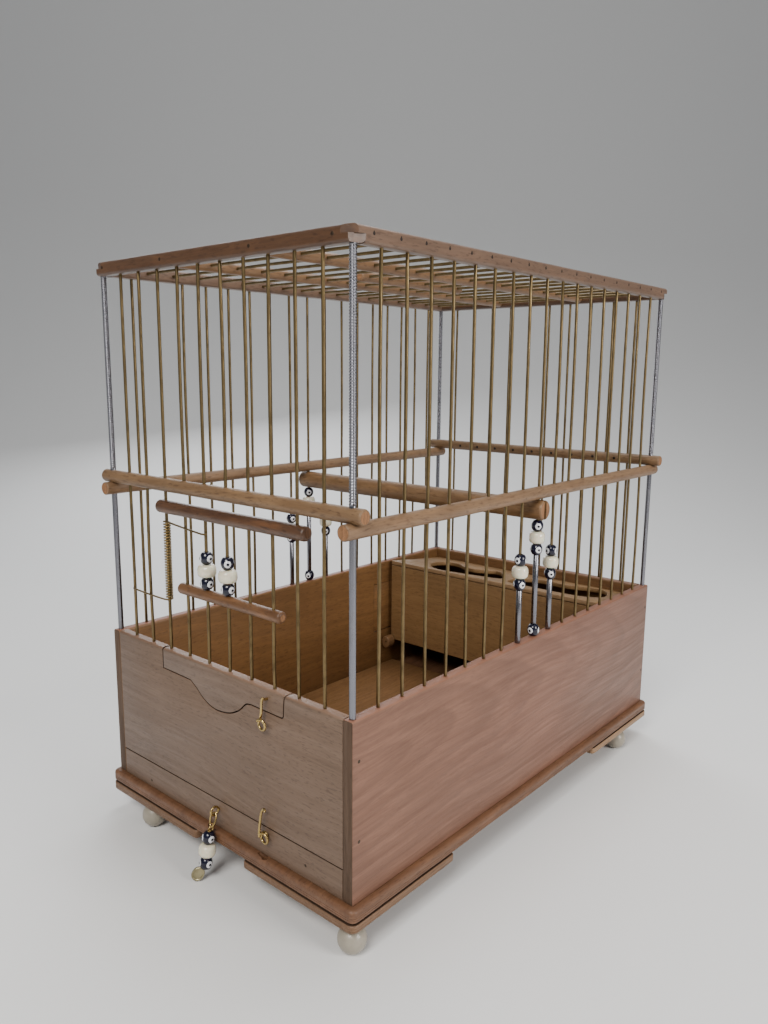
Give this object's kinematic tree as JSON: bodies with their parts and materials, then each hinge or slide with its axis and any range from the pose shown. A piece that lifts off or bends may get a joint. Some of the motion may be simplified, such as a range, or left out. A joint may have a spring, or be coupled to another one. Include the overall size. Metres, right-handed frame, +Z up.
{
  "type": "canary breeding cage",
  "caption": "Small oblong bird cage with a wooden base box, pull-out tray, built-in feeder, sprung wire door, round rails, threaded corner posts, beads, a perch and ball feet.",
  "frame": {"origin": "middle of the overall width and depth, on the surface that the ball feet stand on", "axes": "+Z up, -Y to the front (door and tray side), +X to the right as seen from the front; the long sides run along Y"},
  "size_m": [0.166, 0.2736, 0.2648],
  "materials": {
    "plate_wood": "sealed moulding, satin",
    "strip_wood": "sealed plywood strip",
    "feet": "pale painted wooden balls, satin",
    "panel_wood": "sealed fine-grained board",
    "side_wood": "sealed board with long grain",
    "rail_wood": "pale turned dowel, satin",
    "top_wood": "varnished strip",
    "dark_rail_wood": "varnished dowel",
    "inner_wood": "varnished inner board",
    "steel": "bright threaded rod and tube",
    "wire": "brassy wire, also the spring",
    "brass": "bright brass wire",
    "beads": "glossy glass and ceramic beads"
  },
  "bodies": {
    "cage": {"base_plate": "plate_wood", "corner_strip_front_left": "strip_wood", "corner_strip_front_right": "strip_wood", "corner_strip_back_left": "strip_wood", "corner_strip_back_right": "strip_wood", "foot_front_left": "feet", "foot_front_right": "feet", "foot_back_left": "feet", "foot_back_right": "feet", "panel_front": "panel_wood", "panel_back": "panel_wood", "panel_left": "side_wood", "panel_right": "side_wood", "post_front_left": "steel", "post_front_right": "steel", "post_back_left": "steel", "post_back_right": "steel", "mid_rail_front": "rail_wood", "mid_rail_back": "rail_wood", "mid_rail_left": "rail_wood", "mid_rail_right": "rail_wood", "top_rail_front": "top_wood", "top_rail_back": "top_wood", "top_rail_left": "top_wood", "top_rail_right": "top_wood", "roof_rail_left": "rail_wood", "roof_rail_right": "rail_wood", "roof_rail_centre": "rail_wood", "roof_wires": "wire", "wires_left": "wire", "wires_right": "wire", "wires_back": "wire", "wires_front_left": "wire", "wires_front_upper": "wire", "wires_front_right": "wire", "perch": "rail_wood", "door_spring": "wire", "feeder_front": "inner_wood", "feeder_top": "inner_wood", "feeder_bottom": "inner_wood", "feeder_lug": "rail_wood"},
    "door": {"door_board": "panel_wood", "door_wires": "wire", "door_mid_rail": "rail_wood", "door_top_rail": "dark_rail_wood"},
    "door_hook": {"door_hook": "brass"},
    "door_beads_left": {"door_beads_left": "beads"},
    "door_beads_right": {"door_beads_right": "beads"},
    "tray": {"tray_front": "panel_wood", "tray_floor": "inner_wood", "tray_eye": "brass"},
    "tray_hook": {"tray_hook": "brass"},
    "pull": {"pull": "beads"},
    "seed_drawer": {"seed_drawer": "side_wood"},
    "bead_stack_left_front": {"bead_stack_left_front": "beads"},
    "bead_stack_left_centre": {"bead_stack_left_centre": "beads"},
    "bead_stack_left_back": {"bead_stack_left_back": "beads"},
    "bead_stack_right_front": {"bead_stack_right_front": "beads"},
    "bead_stack_right_centre": {"bead_stack_right_centre": "beads"},
    "bead_stack_right_back": {"bead_stack_right_back": "beads"}
  },
  "joints": [
    {"name": "door_swing", "type": "hinge", "parent": "cage", "child": "door", "pos_m": [-0.035, -0.12095, 0.12375], "axis": [0, 0, -1], "range_deg": [0, 105], "stiffness_Nm_per_rad": 0.004, "springref_deg": -20.05, "deforming": ["door_spring"]},
    {"name": "door_hook_swing", "type": "hinge", "parent": "door", "child": "door_hook", "pos_m": [0.0332, -0.12345, 0.08985], "axis": [0, -1, 0], "range_deg": [-90, 90]},
    {"name": "door_beads_left_lift", "type": "slide", "parent": "door", "child": "door_beads_left", "axis": [0, 0, 1], "range_m": [0, 0.0065]},
    {"name": "door_beads_right_lift", "type": "slide", "parent": "door", "child": "door_beads_right", "axis": [0, 0, 1], "range_m": [0, 0.013]},
    {"name": "tray_slide", "type": "slide", "parent": "cage", "child": "tray", "axis": [0, -1, 0], "range_m": [0, 0.17]},
    {"name": "tray_hook_turn", "type": "hinge", "parent": "tray", "child": "tray_hook", "pos_m": [0.032, -0.12345, 0.02995], "axis": [0, -1, 0], "range_deg": [-90, 90]},
    {"name": "pull_swing", "type": "hinge", "parent": "tray", "child": "pull", "pos_m": [0, -0.12595, 0.02897], "axis": [-1, 0, 0], "range_deg": [0, 70]},
    {"name": "seed_drawer_slide", "type": "slide", "parent": "cage", "child": "seed_drawer", "axis": [-1, 0, 0], "range_m": [0, 0.12]},
    {"name": "bead_stack_left_front_lift", "type": "slide", "parent": "cage", "child": "bead_stack_left_front", "axis": [0, 0, 1], "range_m": [0, 0.023]},
    {"name": "bead_stack_left_centre_spin", "type": "hinge", "parent": "cage", "child": "bead_stack_left_centre", "pos_m": [-0.077, 0.00505, 0.12375], "axis": [0, 0, 1], "continuous": true},
    {"name": "bead_stack_left_back_lift", "type": "slide", "parent": "cage", "child": "bead_stack_left_back", "axis": [0, 0, 1], "range_m": [0, 0.023]},
    {"name": "bead_stack_right_front_lift", "type": "slide", "parent": "cage", "child": "bead_stack_right_front", "axis": [0, 0, 1], "range_m": [0, 0.023]},
    {"name": "bead_stack_right_centre_spin", "type": "hinge", "parent": "cage", "child": "bead_stack_right_centre", "pos_m": [0.077, 0.00505, 0.12375], "axis": [0, 0, 1], "continuous": true},
    {"name": "bead_stack_right_back_lift", "type": "slide", "parent": "cage", "child": "bead_stack_right_back", "axis": [0, 0, 1], "range_m": [0, 0.023]}
  ]
}
